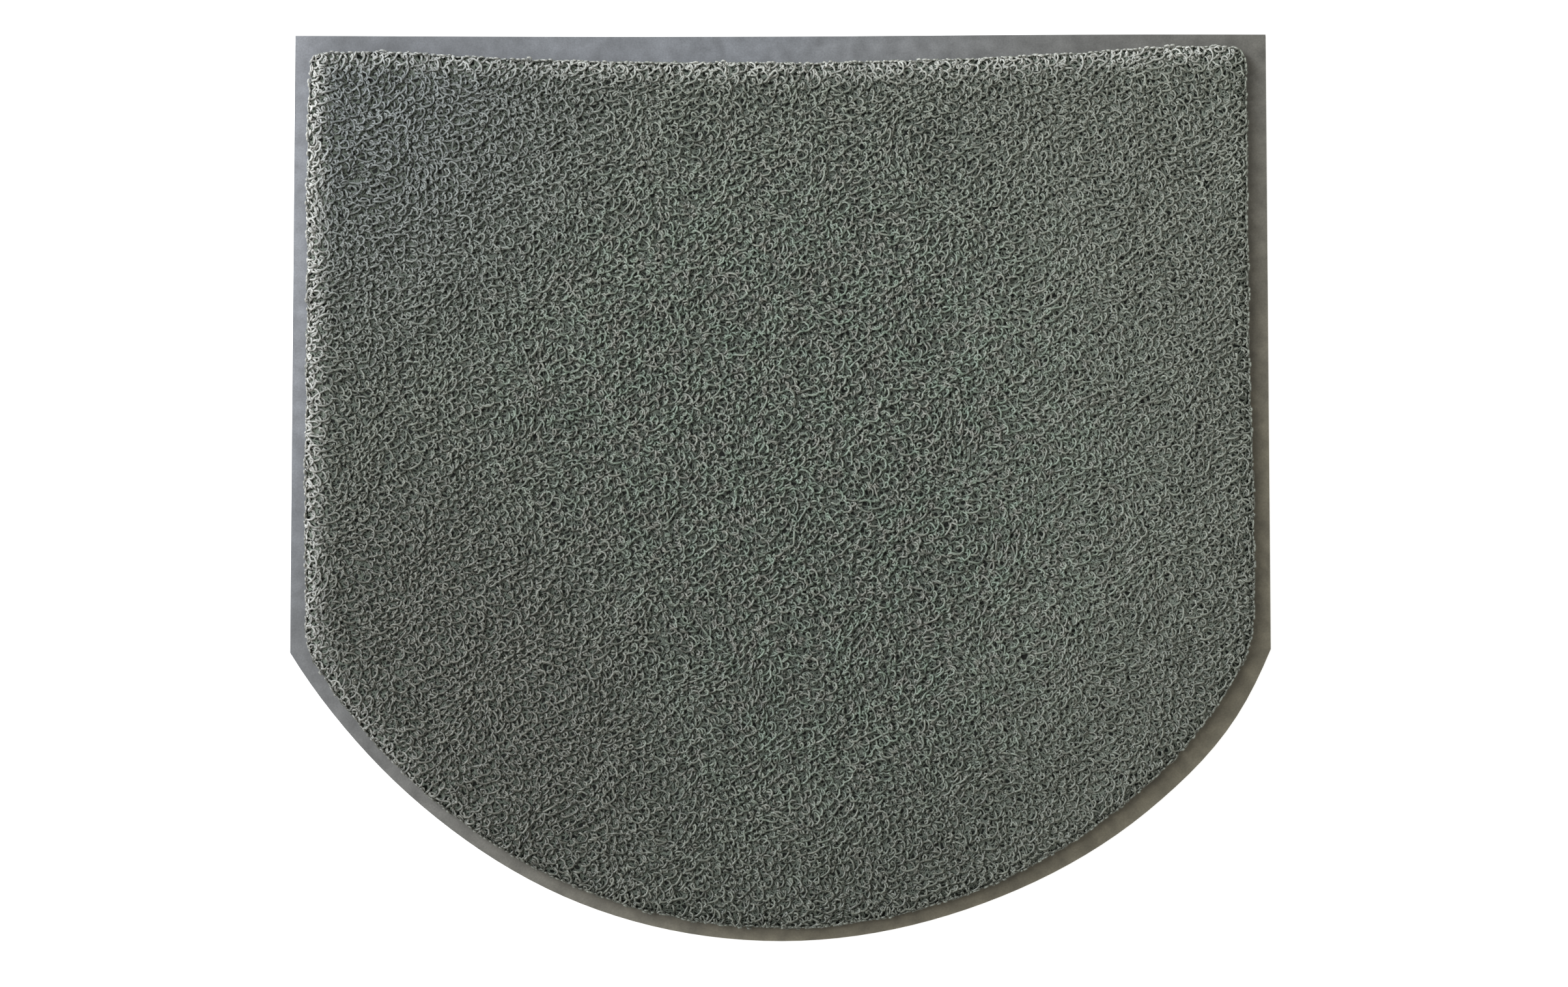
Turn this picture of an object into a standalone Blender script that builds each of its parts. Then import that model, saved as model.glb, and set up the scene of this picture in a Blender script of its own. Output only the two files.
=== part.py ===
"""Half round litter mat, modelled as it is made.

A flat D-shaped sheet of soft vinyl carries a pile of looped vinyl strands, which is cut a little
smaller, so that a plain margin of the sheet shows all round. The margin is widest along the
straight back edge, where the pile's rim bows inwards.

Units are metres, with +Z up. The origin is the middle of the mat's plan, on the floor. The
straight back edge faces +Y, and the half round front faces -Y.
"""

import math

import bmesh
import bpy
import numpy as np
from mathutils import Vector, noise
from mathutils.geometry import delaunay_2d_cdt

# The sheet
MAT_WIDTH = 0.610
MAT_DEPTH = 0.5663
SHEET_THICKNESS = 0.0024
SHEET_EDGE_BEVEL = 0.0008

# The pile
PILE_HEIGHT = 0.0088
PILE_CLEARANCE = 0.0003  # between the sheet and the pile's underside
PILE_CORNER_SOFTNESS = 0.0018  # rounds the pile's corners to about 4 mm
WALL_SETBACK = 0.0010  # from the pile's rim, which its loops reach past, to the slab's wall
WALL_WAVE = {"width": 0.021, "height": 0.0009}
WALL_STATIONS = 200
SHOULDER_WIDTH = 0.0046  # how far in from the wall the pile reaches its full height
WALL_HEIGHT_SHARE = 0.42  # of the pile's height, where its wall turns into the shoulder
SHOULDER_DEPTHS = (0.0012, 0.0028, 0.0060)  # in from the wall, past the shoulder
INNER_SPACING = 0.0165
# Unevenness of the pile's top: how wide the lumps are, and how far they rise and fall
LUMPS = (
    {"width": 0.060, "height": 0.0006},
    {"width": 0.026, "height": 0.0006},
)

# The loops that stand out at the pile's rim
RIM_LOOPS = 110
STRAND_RADIUS = 0.00075
LOOP_SEGMENTS = 4
LOOP_ROOT_DEPTH = 0.0012  # how deep inside the wall a loop's two roots end
# Uneven sizes, each from low to high. Turn is the share of that range by which the value moves on
# from one loop to the next, wrapping round at high.
LOOP_HALF_WIDTH = {"low": 0.0026, "high": 0.0042, "turn": 0.618}
LOOP_REACH = {"low": 0.0026, "high": 0.0040, "turn": 0.755}  # from the root line to the strand's centre
LOOP_LEVEL = {"low": 0.0022, "high": 0.0042, "turn": 0.414}  # above the sheet
LOOP_TILT_DEG = {"low": -8.0, "high": 50.0, "turn": 0.325}  # upwards

BACK_Y = MAT_DEPTH / 2
SIDE_X = MAT_WIDTH / 2
FRONT_CENTRE_Y = 0.07005  # the centre that the front curve's radii are measured from
FRONT_STEPS = 64
BACK_STEPS = 16

HALVINGS = 40  # of a search for where a line is met
BEARING_SAMPLES = 1441  # for measuring round the pile's wall
WELD_DISTANCE = 1e-6

# The front curve. angle: degrees from straight towards the front, positive to the right.
# radius: from the centre to the sheet's edge. margin: from that edge back to the pile's rim.
FRONT_CURVE = (
    {"angle": -62.0, "radius": 0.3520, "margin": 0.0100},
    {"angle": -50.0, "radius": 0.3498, "margin": 0.0078},
    {"angle": -40.0, "radius": 0.3497, "margin": 0.0074},
    {"angle": -20.0, "radius": 0.3525, "margin": 0.0078},
    {"angle": 0.0, "radius": 0.3532, "margin": 0.0076},
    {"angle": 20.0, "radius": 0.3530, "margin": 0.0082},
    {"angle": 40.0, "radius": 0.3556, "margin": 0.0122},
    {"angle": 52.0, "radius": 0.3558, "margin": 0.0132},
    {"angle": 62.0, "radius": 0.3495, "margin": 0.0118},
)

# How far the hand-cut back edge falls short of the mat's full depth. place: x along the edge.
BACK_EDGE = (
    {"place": -0.300, "drop": 0.0009},
    {"place": -0.250, "drop": 0.0011},
    {"place": -0.180, "drop": 0.0014},
    {"place": -0.050, "drop": 0.0015},
    {"place": 0.020, "drop": 0.0013},
    {"place": 0.090, "drop": 0.0008},
    {"place": 0.160, "drop": 0.0003},
    {"place": 0.250, "drop": 0.0},
    {"place": 0.300, "drop": 0.0001},
)

# The sheet's margin along its straight edges. place: x along the back edge, y along a side.
BACK_MARGIN = (
    {"place": -0.290, "margin": 0.0110},
    {"place": -0.250, "margin": 0.0100},
    {"place": -0.200, "margin": 0.0126},
    {"place": -0.150, "margin": 0.0150},
    {"place": -0.080, "margin": 0.0164},
    {"place": 0.020, "margin": 0.0167},
    {"place": 0.100, "margin": 0.0154},
    {"place": 0.180, "margin": 0.0122},
    {"place": 0.250, "margin": 0.0080},
    {"place": 0.290, "margin": 0.0082},
)
LEFT_MARGIN = (
    {"place": -0.100, "margin": 0.0098},
    {"place": -0.040, "margin": 0.0088},
    {"place": 0.060, "margin": 0.0084},
    {"place": 0.140, "margin": 0.0086},
    {"place": 0.200, "margin": 0.0082},
    {"place": 0.270, "margin": 0.0095},
)
RIGHT_MARGIN = (
    {"place": -0.100, "margin": 0.0104},
    {"place": -0.040, "margin": 0.0096},
    {"place": 0.060, "margin": 0.0112},
    {"place": 0.160, "margin": 0.0122},
    {"place": 0.270, "margin": 0.0118},
)

# sRGB colours
SHEET_COLOUR = "#7b7f80"
PILE_COLOUR = "#626862"


def clear_scene():
    """Removes every object that the scene starts with."""
    for obj in list(bpy.data.objects):
        bpy.data.objects.remove(obj)


def linear_rgba(hex_colour):
    """The linear colour of an sRGB hex value, with full alpha."""
    shares = [int(hex_colour[i : i + 2], 16) / 255 for i in (1, 3, 5)]
    return [s / 12.92 if s <= 0.04045 else ((s + 0.055) / 1.055) ** 2.4 for s in shares] + [1.0]


def vinyl(name, hex_colour, roughness):
    """A soft vinyl material."""
    material = bpy.data.materials.new(name)
    material.use_nodes = True
    shader = material.node_tree.nodes["Principled BSDF"]
    shader.inputs["Base Color"].default_value = linear_rgba(hex_colour)
    shader.inputs["Roughness"].default_value = roughness
    shader.inputs["Metallic"].default_value = 0.0
    return material


def along(rows, place_column, value_column, places):
    """Values on the smooth curve through a table's rows: cubic pieces whose slope at a row is that
    of its two neighbours, and level beyond the ends."""
    x = np.array([row[place_column] for row in rows])
    y = np.array([row[value_column] for row in rows])
    slope = np.gradient(y, x)
    places = np.clip(places, x[0], x[-1])
    i = np.clip(np.searchsorted(x, places) - 1, 0, len(x) - 2)
    step = x[i + 1] - x[i]
    t = (places - x[i]) / step
    rise = t * t * (3 - 2 * t)
    return (
        y[i] * (1 - rise)
        + y[i + 1] * rise
        + step * slope[i] * t * (1 - t) ** 2
        - step * slope[i + 1] * t * t * (1 - t)
    )


def front_point(angle_deg):
    """The sheet's front edge at an angle about the front curve's centre."""
    radius = along(FRONT_CURVE, "angle", "radius", angle_deg)
    angle = np.radians(angle_deg)
    return radius * np.sin(angle), FRONT_CENTRE_Y - radius * np.cos(angle)


def front_end(side):
    """The angle at which the front curve meets the left (-1) or right (1) side, by halving."""
    near, far = 50.0, FRONT_CURVE[-1]["angle"]
    for _ in range(HALVINGS):
        middle = (near + far) / 2
        x, _ = front_point(side * middle)
        near, far = (middle, far) if side * x < SIDE_X else (near, middle)
    return side * near


def back_edge(x):
    """The y of the sheet's back edge at x."""
    return BACK_Y - along(BACK_EDGE, "place", "drop", x)


def sheet_outline():
    """The sheet's front curve and back edge, anticlockwise from above. The sides join them."""
    front_x, front_y = front_point(np.linspace(front_end(-1), front_end(1), FRONT_STEPS + 1))
    back_x = np.linspace(SIDE_X, -SIDE_X, BACK_STEPS + 1)
    x, y = np.append(front_x, back_x), np.append(front_y, back_edge(back_x))
    return list(zip(x.tolist(), y.tolist(), strict=True))


def inset(x, y):
    """How far points lie inside the pile's rim: the least of the distances to its four edges, eased
    where two edges meet so that the corner is round."""
    radius = np.hypot(x, y - FRONT_CENTRE_Y)
    angle = np.degrees(np.arctan2(x, FRONT_CENTRE_Y - y))
    front_edge = along(FRONT_CURVE, "angle", "radius", angle)
    front_rim = front_edge - along(FRONT_CURVE, "angle", "margin", angle)
    to_front = np.where(np.abs(angle) < 90, front_rim - radius, SIDE_X)
    to_back = back_edge(x) - along(BACK_MARGIN, "place", "margin", x) - y
    to_left = x + SIDE_X - along(LEFT_MARGIN, "place", "margin", y)
    to_right = SIDE_X - along(RIGHT_MARGIN, "place", "margin", y) - x
    eased = sum(np.exp(-d / PILE_CORNER_SOFTNESS) for d in (to_front, to_back, to_left, to_right))
    return -PILE_CORNER_SOFTNESS * np.log(eased)


def ring(depth, bearings):
    """The points that lie depth inside the pile's wall at these bearings from the origin."""
    across, up = np.cos(bearings), np.sin(bearings)
    near, far = np.zeros_like(bearings), np.full_like(bearings, MAT_WIDTH)
    for _ in range(HALVINGS):
        middle = (near + far) / 2
        inside = inset(middle * across, middle * up) > WALL_SETBACK + depth
        near, far = np.where(inside, middle, near), np.where(inside, far, middle)
    return np.column_stack([near * across, near * up])


def even_bearings(count):
    """The bearings of count points spaced evenly along the pile's wall, anticlockwise."""
    bearings = np.linspace(0, 2 * math.pi, BEARING_SAMPLES)
    steps = np.diff(ring(0.0, bearings), axis=0)
    run = np.concatenate([[0.0], np.cumsum(np.hypot(steps[:, 0], steps[:, 1]))])
    return np.interp(np.linspace(0, run[-1], count, endpoint=False), run, bearings)


def rise_at(depth):
    """The share of the pile's full height reached this far inside its wall: a rounded shoulder."""
    share = min(depth / SHOULDER_WIDTH, 1.0)
    return WALL_HEIGHT_SHARE + (1 - WALL_HEIGHT_SHARE) * math.sqrt(1 - (1 - share) ** 2)


def top_point(x, y, depth):
    """The point of the pile's uneven top over a point in plan."""
    lumps = sum(lump["height"] * noise.noise(Vector((x, y, 0)) / lump["width"]) for lump in LUMPS)
    full = PILE_HEIGHT - PILE_CLEARANCE + lumps
    return Vector((x, y, SHEET_THICKNESS + PILE_CLEARANCE + full * rise_at(depth)))


def inner_points():
    """Points in staggered rows over the flat middle of the pile."""
    row_spacing = INNER_SPACING * math.sqrt(3) / 2
    rows = np.arange(-BACK_Y, BACK_Y, row_spacing)
    columns = np.arange(-SIDE_X, SIDE_X, INNER_SPACING)
    x, y = np.meshgrid(columns, rows)
    x = x + (np.arange(len(rows)) % 2)[:, None] * INNER_SPACING / 2
    deep = inset(x, y) > WALL_SETBACK + SHOULDER_DEPTHS[-1] + INNER_SPACING / 2
    return np.column_stack([x[deep], y[deep]])


def grow_rim(shape, station, place):
    """Extrudes the open rim of a mesh, and puts each new point where place(its station) says."""
    rim = [edge for edge in shape.edges if edge.is_boundary]
    made = bmesh.ops.extrude_edge_only(shape, edges=rim)["geom"]
    for vert in (part for part in made if isinstance(part, bmesh.types.BMVert)):
        vert.co = place(vert[station])


def pile_slab(name):
    """The pile as a lumpy slab: its middle is meshed first, then the shoulder and the wall are grown
    outwards and down from the middle's rim, and a flat underside closes it."""
    bearings = even_bearings(WALL_STATIONS)
    places = [Vector((x, y, 1)) / WALL_WAVE["width"] for x, y in ring(0.0, bearings).tolist()]
    wave = WALL_WAVE["height"] * np.array([noise.noise(place) for place in places])
    rings = {depth: ring(depth + wave, bearings).tolist() for depth in (0.0, *SHOULDER_DEPTHS)}
    plan = [Vector(point) for point in [*rings[SHOULDER_DEPTHS[-1]], *inner_points().tolist()]]
    rim_edges = [(i, (i + 1) % WALL_STATIONS) for i in range(WALL_STATIONS)]
    points, _, faces, *_ = delaunay_2d_cdt(plan, rim_edges, [], 1, WELD_DISTANCE)
    mesh = bpy.data.meshes.new(name)
    mesh.from_pydata([top_point(*p, SHOULDER_DEPTHS[-1]) for p in points], [], faces)
    shape = bmesh.new()
    shape.from_mesh(mesh)
    station = shape.verts.layers.int.new("station")
    for index, vert in enumerate(shape.verts):
        vert[station] = index  # the first points are those of the rim
    for depth in (*reversed(SHOULDER_DEPTHS[:-1]), 0.0):
        grow_rim(shape, station, lambda i, depth=depth: top_point(*rings[depth][i], depth))
    grow_rim(shape, station, lambda i: (*rings[0.0][i], SHEET_THICKNESS + PILE_CLEARANCE))
    bmesh.ops.contextual_create(shape, geom=[edge for edge in shape.edges if edge.is_boundary])
    bmesh.ops.recalc_face_normals(shape, faces=shape.faces)
    shape.to_mesh(mesh)
    shape.free()
    return bpy.data.objects.new(name, mesh)


def uneven(size, index):
    """The value that the loop of this index takes from an uneven size."""
    return size["low"] + (size["high"] - size["low"]) * ((index * size["turn"]) % 1.0)


def rim_loop(index, root, tangent, outward):
    """The points of one loop: a tilted half ellipse that starts and ends inside the pile's wall."""
    half_width = uneven(LOOP_HALF_WIDTH, index)
    reach = uneven(LOOP_REACH, index)
    level = SHEET_THICKNESS + uneven(LOOP_LEVEL, index)
    tilt = math.radians(uneven(LOOP_TILT_DEG, index))
    away = outward * math.cos(tilt) + Vector((0, 0, math.sin(tilt)))
    points = []
    for step in range(LOOP_SEGMENTS + 1):
        turn = math.radians(-90 + 180 * step / LOOP_SEGMENTS)
        points.append(root + tangent * (half_width * math.sin(turn)) + away * (reach * math.cos(turn)))
        points[-1].z += level
    return points


def rim_loops(name):
    """All the loops round the rim, as one curve of short strands with capped ends."""
    curve = bpy.data.curves.new(name, "CURVE")
    curve.dimensions = "3D"
    curve.bevel_depth = STRAND_RADIUS
    curve.bevel_resolution = 0
    curve.use_fill_caps = True
    stations = ring(LOOP_ROOT_DEPTH, even_bearings(RIM_LOOPS))
    ahead = np.roll(stations, -1, axis=0) - np.roll(stations, 1, axis=0)
    for index, (place, along_rim) in enumerate(zip(stations.tolist(), ahead.tolist(), strict=True)):
        tangent = Vector((*along_rim, 0)).normalized()
        outward = Vector((tangent.y, -tangent.x, 0))
        points = rim_loop(index, Vector((*place, 0)), tangent, outward)
        spline = curve.splines.new("POLY")
        spline.points.add(len(points) - 1)
        for spline_point, point in zip(spline.points, points, strict=True):
            spline_point.co = (*point, 1.0)
    return bpy.data.objects.new(name, curve)


def as_mesh(obj, collection):
    """Replaces a curve object by a closed mesh object of the same name and place."""
    graph = bpy.context.evaluated_depsgraph_get()
    mesh = bpy.data.meshes.new_from_object(obj.evaluated_get(graph))
    shape = bmesh.new()
    shape.from_mesh(mesh)
    bmesh.ops.remove_doubles(shape, verts=shape.verts, dist=WELD_DISTANCE)
    bmesh.ops.recalc_face_normals(shape, faces=shape.faces)
    shape.to_mesh(mesh)
    shape.free()
    made = bpy.data.objects.new(obj.name + "_mesh", mesh)
    made.matrix_world = obj.matrix_world
    collection.objects.link(made)
    bpy.data.objects.remove(obj)
    return made


def build_sheet(collection):
    """The backing sheet: its flat outline at the sheet's thickness, with the cut edge eased."""
    curve = bpy.data.curves.new("backing_sheet", "CURVE")
    curve.dimensions = "2D"
    curve.fill_mode = "BOTH"
    curve.extrude = SHEET_THICKNESS / 2
    outline = sheet_outline()
    spline = curve.splines.new("POLY")
    spline.points.add(len(outline) - 1)
    for spline_point, (x, y) in zip(spline.points, outline, strict=True):
        spline_point.co = (x, y, 0, 1)
    spline.use_cyclic_u = True
    sheet = bpy.data.objects.new("backing_sheet", curve)
    sheet.location.z = SHEET_THICKNESS / 2
    collection.objects.link(sheet)
    weld = sheet.modifiers.new("weld the caps", "WELD")
    weld.merge_threshold = WELD_DISTANCE
    ease = sheet.modifiers.new("ease the cut edge", "BEVEL")
    ease.width = SHEET_EDGE_BEVEL
    ease.segments = 2
    ease.limit_method = "ANGLE"
    ease.angle_limit = math.radians(60)
    curve.materials.append(vinyl("calendered vinyl", SHEET_COLOUR, 0.55))


def build_pile(collection, helpers):
    """The looped pile: the lumpy slab, joined with the loops that stand out at its rim."""
    pile = pile_slab("loop_pile")
    collection.objects.link(pile)
    pile.data.materials.append(vinyl("looped vinyl strand", PILE_COLOUR, 0.45))
    loops = rim_loops("rim_loops")
    helpers.objects.link(loops)
    loops = as_mesh(loops, helpers)
    loops.hide_render = True
    loops.display_type = "WIRE"
    join = pile.modifiers.new("join the rim loops", "BOOLEAN")
    join.operation = "UNION"
    join.solver = "EXACT"
    join.object = loops


def main():
    """Builds the mat."""
    clear_scene()
    mat = bpy.data.collections.new("half round litter mat")
    helpers = bpy.data.collections.new("helpers")
    bpy.context.scene.collection.children.link(mat)
    bpy.context.scene.collection.children.link(helpers)
    build_sheet(mat)
    build_pile(mat, helpers)


main()
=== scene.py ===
"""The looks of a half round litter mat: a pile of looped vinyl strand on a plain vinyl sheet.

The sheet is the frame's own solid with a finish. The pile is made again strand by strand: rows of strand run
across it and coil as they go, more coils stand in its wall, and a bed closes the space under them.

Lengths are in metres and axes are the frame's: +Z up, +Y to the straight back edge, +X to the right.
"""

import logging
import math
from dataclasses import dataclass, field, fields
from enum import Enum
from typing import Any

import bpy
import numpy as np
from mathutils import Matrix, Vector
from numpy.typing import NDArray


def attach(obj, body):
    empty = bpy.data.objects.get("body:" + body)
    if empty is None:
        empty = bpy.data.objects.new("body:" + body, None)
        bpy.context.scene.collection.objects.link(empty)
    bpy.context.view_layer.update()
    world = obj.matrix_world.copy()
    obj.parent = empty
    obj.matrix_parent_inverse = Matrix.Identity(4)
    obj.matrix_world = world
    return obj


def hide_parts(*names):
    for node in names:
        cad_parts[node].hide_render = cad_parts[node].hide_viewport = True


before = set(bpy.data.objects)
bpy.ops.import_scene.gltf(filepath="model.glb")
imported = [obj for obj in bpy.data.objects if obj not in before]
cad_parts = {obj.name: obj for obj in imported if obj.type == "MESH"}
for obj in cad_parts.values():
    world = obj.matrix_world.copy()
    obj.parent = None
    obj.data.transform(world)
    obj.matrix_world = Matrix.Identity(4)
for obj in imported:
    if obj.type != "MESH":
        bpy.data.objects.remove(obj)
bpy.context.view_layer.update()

BODY = "root"
MM = 0.001
FULL_TURN = 2 * math.pi

Array = NDArray[np.float64]
Indices = NDArray[np.int64]
Marks = NDArray[np.bool_]

log = logging.getLogger("litter_mat")


def linear(hex_colour: str) -> tuple[float, float, float, float]:
    """Turns an sRGB hex colour to linear light.

    Args:
        hex_colour: the colour, as "#rrggbb".

    Returns:
        Red, green, blue and a full alpha.
    """
    shares = (int(hex_colour[i : i + 2], 16) / 255 for i in (1, 3, 5))
    red, green, blue = (s / 12.92 if s <= 0.04045 else ((s + 0.055) / 1.055) ** 2.4 for s in shares)
    return red, green, blue, 1.0


def add_node(
    tree: bpy.types.NodeTree,
    kind: str,
    settings: dict[str | int, Any] | None = None,
    links: dict[str | int, bpy.types.NodeSocket] | None = None,
) -> bpy.types.Node:
    """Adds a node to a tree, with its settings and what feeds it.

    Args:
        tree: the node tree.
        kind: the node's Blender type.
        settings: values by the name of a node property, or by the name or place of an input.
        links: output sockets by the name or place of the input that each one feeds.

    Returns:
        The new node.
    """
    node = tree.nodes.new(kind)
    for key, value in (settings or {}).items():
        if isinstance(key, str) and hasattr(node, key):
            setattr(node, key, value)
        else:
            node.inputs[key].default_value = value
    for key, socket in (links or {}).items():
        tree.links.new(socket, node.inputs[key])
    return node


def fresh_material(name: str) -> tuple[bpy.types.Material, bpy.types.NodeTree, bpy.types.Node]:
    """Makes a node material that holds only its output.

    Args:
        name: the material's name.

    Returns:
        The material, its node tree and its output node.
    """
    material = bpy.data.materials.new(name)
    material.use_nodes = True
    tree = material.node_tree
    tree.nodes.clear()
    return material, tree, tree.nodes.new("ShaderNodeOutputMaterial")


@dataclass(frozen=True)
class WaveField:
    """A smooth uneven field with a mean of 0.

    It is the sum of plane waves cos(k . p + phase), all of about one length and in random directions,
    divided by the root of half their number, times the spread.

    Attributes:
        wavelength: about how long the waves are.
        seed: of their random numbers.
        waves: how many there are.
        spread: the field's standard deviation.
        band: the least and the greatest wave number, as shares of the mean one.
    """

    wavelength: float
    seed: int
    waves: int = 16
    spread: float = 1.0
    band: tuple[float, float] = (0.7, 1.3)

    def at(self, x: Array, y: Array) -> Array:
        """Works out the field's values.

        Args:
            x: the points' first coordinate.
            y: the points' second coordinate, of a shape that broadcasts with x.

        Returns:
            One value for each point.
        """
        random = np.random.default_rng(self.seed)
        heading = random.uniform(0, FULL_TURN, self.waves)
        number = FULL_TURN / self.wavelength * random.uniform(*self.band, self.waves)
        phase = random.uniform(0, FULL_TURN, self.waves)
        total = np.zeros(np.broadcast_shapes(np.shape(x), np.shape(y)))
        for k, angle, start in zip(number, heading, phase, strict=True):
            total += np.cos(k * (math.cos(angle) * x + math.sin(angle) * y) + start)
        return self.spread * (total / math.sqrt(self.waves / 2))


@dataclass(frozen=True)
class PilePlan:
    """The pile's outline in plan, its heights, and how much painted shade and painted rim light it has from
    place to place.

    Attributes:
        wall: the points of the wall's foot, anticlockwise, a row each.
        low: the height of the pile's underside.
        high: the height of its tallest lump.
        shoulder: how far behind the wall the pile reaches its full height.
        wall_share: the share of the full height at which the wall turns into the shoulder.
        lump_height: how far the top's lumps rise and fall.
        lump_peak: how many times that height the tallest lump rises.
        lumps: the uneven fields of the wide lumps and of the narrow ones.
        pit_depth: how deep the coils sink in the small pits between higher ones.
        pits: the uneven field that places the pits.
        pit_brink: the value of that field above which there is a pit.
        gloom_between: how much painted shade darkens the depth of the pile, but for the next two.
        gloom_middle: how much more painted shade there is in the middle.
        gloom_less: how much less painted shade there is at the right, where there is least.
        dark_middle: how far the dark middle reaches.
        less_shade_from: the x from which there is less painted shade, and least at twice that.
        rim_light_side: the side toward the window light, on which the painted rim light is strongest, in
            plan.
        rim_light_gain: how strong the painted rim light is where the rim faces that side, at most 1.
        rim_light_width: how far the painted rim light reaches inwards.
        rim_light_fall: the power with which it fades.
        near: how close to the wall the least distance to it is worked out.
    """

    wall: Array
    low: float
    high: float
    shoulder: float = 2.6 * MM
    wall_share: float = 0.78
    lump_height: float = 0.25 * MM
    lump_peak: float = 2.4
    lumps: tuple[WaveField, ...] = (WaveField(60 * MM, 3), WaveField(26 * MM, 4))
    pit_depth: float = 1.8 * MM
    pits: WaveField = WaveField(5.8 * MM, 5, 24)
    pit_brink: float = 0.25
    gloom_between: float = 0.85
    gloom_middle: float = 0.15
    gloom_less: float = 0.4
    dark_middle: float = 150.0 * MM
    less_shade_from: float = 90.0 * MM
    rim_light_side: tuple[float, float] = (-0.9, 0.5)
    rim_light_gain: float = 1.3
    rim_light_width: float = 17.0 * MM
    rim_light_fall: float = 1.3
    near: float = 18.0 * MM

    @classmethod
    def of_node(cls, node: str, slack: float = 0.05 * MM, rounding: int = 4) -> "PilePlan":
        """Reads the plan from a solid of the frame.

        The solid's lowest points are the wall's foot. They are set out again 1 mm apart, each one moves to
        the mean of those within the rounding, which rounds the corners as the cut strands do, and then one
        in so many is kept.

        Args:
            node: the name of the pile's node.
            slack: how far above the lowest point the others of the foot may lie.
            rounding: how many millimetres of wall on either side make the mean, and between kept points.

        Returns:
            The plan.
        """
        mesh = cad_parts[node].data
        points = np.empty(len(mesh.vertices) * 3, np.float32)
        mesh.vertices.foreach_get("co", points)
        points = points.reshape(-1, 3).astype(float)
        low, high = points[:, 2].min(), points[:, 2].max()
        foot = np.unique(points[points[:, 2] < low + slack, :2].round(6), axis=0)
        order = np.argsort(np.arctan2(foot[:, 1], foot[:, 0]))
        closed = foot[np.append(order, order[0])]
        stations = np.concatenate([[0.0], np.cumsum(np.linalg.norm(np.diff(closed, axis=0), axis=1))])
        run = np.linspace(0, stations[-1], round(stations[-1] / MM), endpoint=False)
        even = np.column_stack([np.interp(run, stations, closed[:, i]) for i in (0, 1)])
        wall = np.mean([np.roll(even, shift, axis=0) for shift in range(-rounding, rounding + 1)], axis=0)
        return cls(wall[::rounding], float(low), float(high))

    def depth(self, x: Array, y: Array) -> tuple[Array, Array]:
        """Measures how far points lie inside the wall, less than 0 outside it, and which way is out.

        Far from the wall that is the wall's distance from the origin at the point's bearing, less the
        point's own. Near the wall it is the least distance to the wall's straight pieces.

        Args:
            x: the points' x.
            y: the points' y.

        Returns:
            The depth of each point, and the direction out of the wall there, 0 far from it.
        """
        bearing = np.arctan2(self.wall[:, 1], self.wall[:, 0])
        reach = np.hypot(self.wall[:, 0], self.wall[:, 1])
        depth = np.interp(np.arctan2(y, x), bearing, reach, period=FULL_TURN) - np.hypot(x, y)
        near = np.abs(depth) < self.near
        piece = np.roll(self.wall, -1, axis=0) - self.wall
        gap = np.stack([x[near], y[near]], axis=-1)[:, None] - self.wall
        share = np.clip((gap * piece).sum(-1) / (piece * piece).sum(-1), 0, 1)
        gap -= share[..., None] * piece
        away = np.linalg.norm(gap, axis=-1)
        closest = away.argmin(axis=1)
        rows = np.arange(len(closest))
        side = np.sign(depth[near])
        depth[near] = side * away[rows, closest]
        out = np.zeros((*depth.shape, 2))
        out[near] = -side[:, None] * gap[rows, closest] / np.maximum(away[rows, closest], 0.01 * MM)[:, None]
        return depth, out

    def painted_rim_light(self, depth: Array, out: Array) -> Array:
        """Works out the painted rim light that pales the strands by the wall: most at its edge, where it
        faces back left.

        Args:
            depth: how far points lie inside the wall.
            out: the direction out of the wall at each.

        Returns:
            A share from 0 to 1 for each point.
        """
        facing = self.rim_light_gain * np.clip(out @ np.array(self.rim_light_side), 0, 1)
        near = np.clip(1 - np.maximum(depth, 0) / self.rim_light_width, 0, 1)
        return np.clip(facing * near**self.rim_light_fall, 0, 1)

    def pit(self, x: Array, y: Array) -> Array:
        """Works out how far the coils sink in scattered small pits, 0 between them.

        Args:
            x: the points' x.
            y: the points' y.

        Returns:
            The pit's depth at each point.
        """
        return self.pit_depth * np.clip(self.pits.at(x, y) - self.pit_brink, 0, 1)

    def gloom(self, x: Array, y: Array) -> Array:
        """Works out the painted shade in the depth of the pile: most in the middle, and least to the right.

        Args:
            x: the points' x.
            y: the points' y.

        Returns:
            A factor on the coils' painted shade, for each point.
        """
        middle = np.exp(-(x**2 + y**2) / self.dark_middle**2)
        less_shade = np.clip(x / self.less_shade_from - 1, 0, 1)
        return self.gloom_between + self.gloom_middle * middle - self.gloom_less * less_shade

    def top(self, x: Array, y: Array, depth: Array) -> Array:
        """Works out the height of the pile's top.

        Behind the wall it follows a quarter of an ellipse, and then stays level but for low lumps.

        Args:
            x: the points' x.
            y: the points' y.
            depth: how far they lie inside the wall.

        Returns:
            The height at each point.
        """
        share = np.clip(depth / self.shoulder, 0, 1)
        rise = self.wall_share + (1 - self.wall_share) * np.sqrt(1 - (1 - share) ** 2)
        lumps = sum(lump.at(x, y) for lump in self.lumps)
        full = self.high - self.low - self.lump_peak * self.lump_height + self.lump_height * lumps
        return self.low + rise * full

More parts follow.
